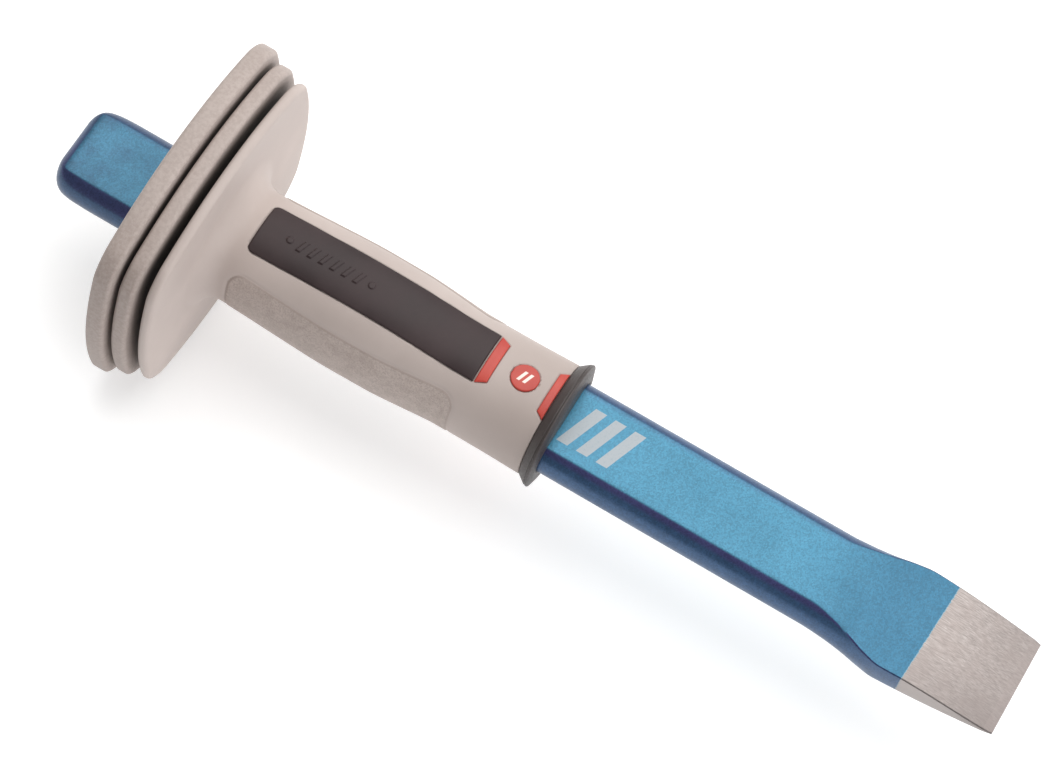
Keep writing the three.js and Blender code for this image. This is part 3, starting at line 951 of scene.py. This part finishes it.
def elastomer_colour(shader, clouds, spark):
    """Warm light grey, mottled on the side panels with scuffs on the guard, and painted shade in the panels'
    groove, on the rims towards -Y and deep in the clefts.
    """
    x, y, _ = shader.axes()
    panel = shader.attribute("panel")
    base = between(shader, clouds, srgb(179, 166, 160), srgb(189, 176, 170))
    mottled = shader.ramp(spark, [(0.36, srgb(142, 128, 121)), (0.58, srgb(188, 173, 165))])
    colour = shader.mix(shader.times(panel, 0.6), base, mottled)
    blotches = shader.remap(shader.noise(260, 4, 0.7), 0.42, 0.62, 0.0, 0.28)
    colour = shader.mix(shader.times(panel, blotches), colour, srgb(146, 131, 122))
    # Painted shade in the groove round each side panel.
    outline = shader.remap(shader.times(panel, shader.minus(1.0, panel)), 0.02, 0.2, 0.0, 0.45)
    colour = shader.mix(outline, colour, srgb(132, 118, 111))
    handled = shader.remap(shader.noise(18, 3, 0.5), 0.42, 0.7, 0.0, 0.12)
    colour = shader.mix(handled, colour, srgb(158, 143, 136))
    towards_collar = shader.remap(x, 0.12, 0.15, 0.0, 0.3)
    colour = shader.mix(towards_collar, colour, srgb(146, 132, 125))
    last_flange = FLANGES[2, 0]
    on_guard = shader.remap(x, last_flange - 0.5 * MM, last_flange + 1.5 * MM, 1.0, 0.0)
    scuffs = shader.remap(shader.noise(900, 4, 0.7), 0.35, 0.65, 0.26, 0.58)
    # Painted shade on the guard's rims towards -Y, added to the scuffs.
    lower_rims_shade = shader.remap(y, -0.045, -0.015, 0.3, 0.0)
    scuffs_and_rim_shade = shader.times(on_guard, shader.math("ADD", scuffs, lower_rims_shade))
    colour = shader.mix(scuffs_and_rim_shade, colour, srgb(148, 134, 127))
    # Painted shade: dark brown deep in the clefts between the flanges.
    cleft_shade = shader.times(shader.attribute("cleft"), shader.remap(shader.noise(300), 0.2, 0.7, 0.9, 1.0))
    return shader.mix(cleft_shade, colour, srgb(56, 41, 33))


def elastomer_material():
    """Soft matte rubber, smooth on the grip and spark-textured on the side panels."""
    shader = Shader("grey_elastomer")
    clouds = shader.noise(45, 4, 0.55)
    spark = shader.noise(1900, 4, 0.75)
    raised = shader.times(shader.times(spark, shader.attribute("panel")), 1.8)
    height = shader.math("ADD", shader.times(shader.noise(3200, 3, 0.6), 0.25), raised)
    roughness = shader.remap(clouds, 0.3, 0.7, 0.56, 0.66)
    colour = elastomer_colour(shader, clouds, spark)
    shader.put(Base_Color=colour, Roughness=roughness, Normal=shader.bump(height, 0.45, 0.16 * MM))
    shader.put(Sheen_Weight=0.05, Sheen_Roughness=0.5)
    return shader.material


def pad_material():
    shader = Shader("dark_pad_rubber")
    clouds = shader.noise(70, 4, 0.55)
    colour = between(shader, clouds, srgb(48, 37, 38), srgb(60, 48, 49))
    roughness = shader.remap(clouds, 0.3, 0.7, 0.42, 0.52)
    surface = shader.bump(shader.noise(2600, 3, 0.6), 0.2, 0.06 * MM)
    shader.put(Base_Color=colour, Roughness=roughness, Normal=surface, Specular_IOR_Level=0.28)
    return shader.material


def dark_polymer_material():
    shader = Shader("dark_polymer")
    colour = between(shader, shader.noise(90, 4, 0.55), srgb(54, 47, 46), srgb(66, 58, 56))
    fine = shader.noise(1800, 3, 0.6)
    roughness = shader.remap(fine, 0.3, 0.7, 0.40, 0.55)
    shader.put(Base_Color=colour, Roughness=roughness, Normal=shader.bump(fine, 0.25, 0.08 * MM))
    return shader.material


def slash_mask(shader):
    """Two short slanted bars across the middle of the marker."""
    x, y, _ = shader.axes()
    across = shader.minus(x, (marker_low.x + marker_high.x) / 2)
    slanted = shader.absolute(shader.minus(across, shader.times(y, SLANT)))
    bars = shader.inside(shader.absolute(shader.minus(slanted, SLASH_OFFSET)), SLASH_HALF_WIDTH, 0.08 * MM)
    return shader.times(bars, shader.inside(shader.absolute(y), SLASH_HALF_HEIGHT, 0.1 * MM))


def red_material(name, slashed=False):
    shader = Shader(name)
    colour = between(shader, shader.noise(120, 4, 0.55), srgb(176, 55, 45), srgb(190, 68, 55))
    if slashed:
        colour = shader.mix(slash_mask(shader), colour, srgb(236, 222, 214))
    fine = shader.noise(2200, 3, 0.6)
    roughness = shader.remap(fine, 0.3, 0.7, 0.36, 0.46)
    shader.put(Base_Color=colour, Roughness=roughness, Normal=shader.bump(fine, 0.15, 0.06 * MM))
    return shader.material


# ---- Stage ---------------------------------------------------------------------------------------

def add_floor():
    """A plain pale floor just under the guard."""
    half = 2.5
    height = cad_box[0][2] - 0.4 * MM
    corners = np.array([(-half, -half), (half, -half), (half, half), (-half, half)])
    points = np.column_stack([corners, np.full(4, height)])
    shader = Shader("pale_floor")
    shader.put(Base_Color=(0.88, 0.88, 0.88, 1), Roughness=0.9)
    shader.put(Emission_Color=(1, 1, 1, 1), Emission_Strength=0.35)
    floor = add_mesh("floor", points.tolist(), [[0, 1, 2, 3]], shader.material)


def add_camera():
    """A camera that looks down on the front face, turned about its own axis until the bar slopes."""
    sin, cos = np.sin, np.cos
    yaw, tilt, roll = CAMERA_YAW, CAMERA_TILT, CAMERA_ROLL
    towards = Vector((sin(yaw) * cos(tilt), -sin(tilt), cos(yaw) * cos(tilt)))
    level = Vector((cos(yaw), 0, -sin(yaw)))
    upright = towards.cross(level)
    right = cos(roll) * level + sin(roll) * upright
    up = cos(roll) * upright - sin(roll) * level
    data = bpy.data.cameras.new("camera")
    data.lens = CAMERA_LENS_MM
    data.sensor_width = 36
    data.sensor_fit = "HORIZONTAL"
    camera = bpy.data.objects.new("camera", data)
    turned = Matrix((right, up, towards)).transposed().to_4x4()
    camera.matrix_world = Matrix.Translation(LOOK_AT + CAMERA_DISTANCE * towards) @ turned
    bpy.context.scene.collection.objects.link(camera)
    bpy.context.scene.camera = camera


def add_soft_light(name, place, aim, size, power, colour):
    data = bpy.data.lights.new(name, "AREA")
    data.shape = "SQUARE"
    data.size = size
    data.energy = power
    data.color = colour
    light = bpy.data.objects.new(name, data)
    light.location = place
    light.rotation_euler = (Vector(aim) - Vector(place)).to_track_quat("-Z", "Y").to_euler()
    bpy.context.scene.collection.objects.link(light)


def add_lights():
    """A large soft key, a fill from the blade side, and a world that is brighter on the key's side."""
    add_soft_light("key", (0.15, 0.75, 1.6), (0.15, 0, 0), 2.0, 27, (1.0, 0.99, 0.97))
    add_soft_light("blade_side_fill", (1.3, -0.35, 0.7), (0.1, 0, 0), 1.2, 8, (0.97, 0.98, 1.0))
    world = bpy.data.worlds.new("studio")
    bpy.context.scene.world = world
    world.use_nodes = True
    tree = world.node_tree
    direction = tree.nodes.new("ShaderNodeTexCoord").outputs["Generated"]
    split = tree.nodes.new("ShaderNodeSeparateXYZ")
    tree.links.new(direction, split.inputs[0])
    brightness = tree.nodes.new("ShaderNodeMapRange")
    brightness.interpolation_type = "SMOOTHSTEP"
    brightness.inputs["From Min"].default_value = -0.55
    brightness.inputs["From Max"].default_value = 0.25
    brightness.inputs["To Min"].default_value = 0.22
    brightness.inputs["To Max"].default_value = 0.75
    tree.links.new(split.outputs[1], brightness.inputs["Value"])
    tree.links.new(brightness.outputs["Result"], tree.nodes["Background"].inputs["Strength"])
    tree.nodes["Background"].inputs["Color"].default_value = (1, 1, 1, 1)


# ---- Build ---------------------------------------------------------------------------------------

bpy.context.scene.view_settings.view_transform = "Standard"
add_camera()
add_lights()
add_floor()

dark_polymer = dark_polymer_material()
build_bar(lacquer_material(), steel_material())
build_shell(elastomer_material())
build_collar(dark_polymer)
pad_rubber = pad_material()
red_polymer = red_material("red_polymer")
red_marker = red_material("red_marker", slashed=True)
for side in ("front", "back"):
    build_inlay(side, "pad", pad_rubber, "pad_rubber")
    build_inlay(side, "pad_band", red_polymer, "red_polymer")
    build_inlay(side, "marker", red_marker, "red_polymer")
    build_inlay(side, "collar_band", red_polymer, "red_polymer")

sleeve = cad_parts["core_sleeve"]
sleeve.data.materials.clear()
sleeve.data.materials.append(dark_polymer)
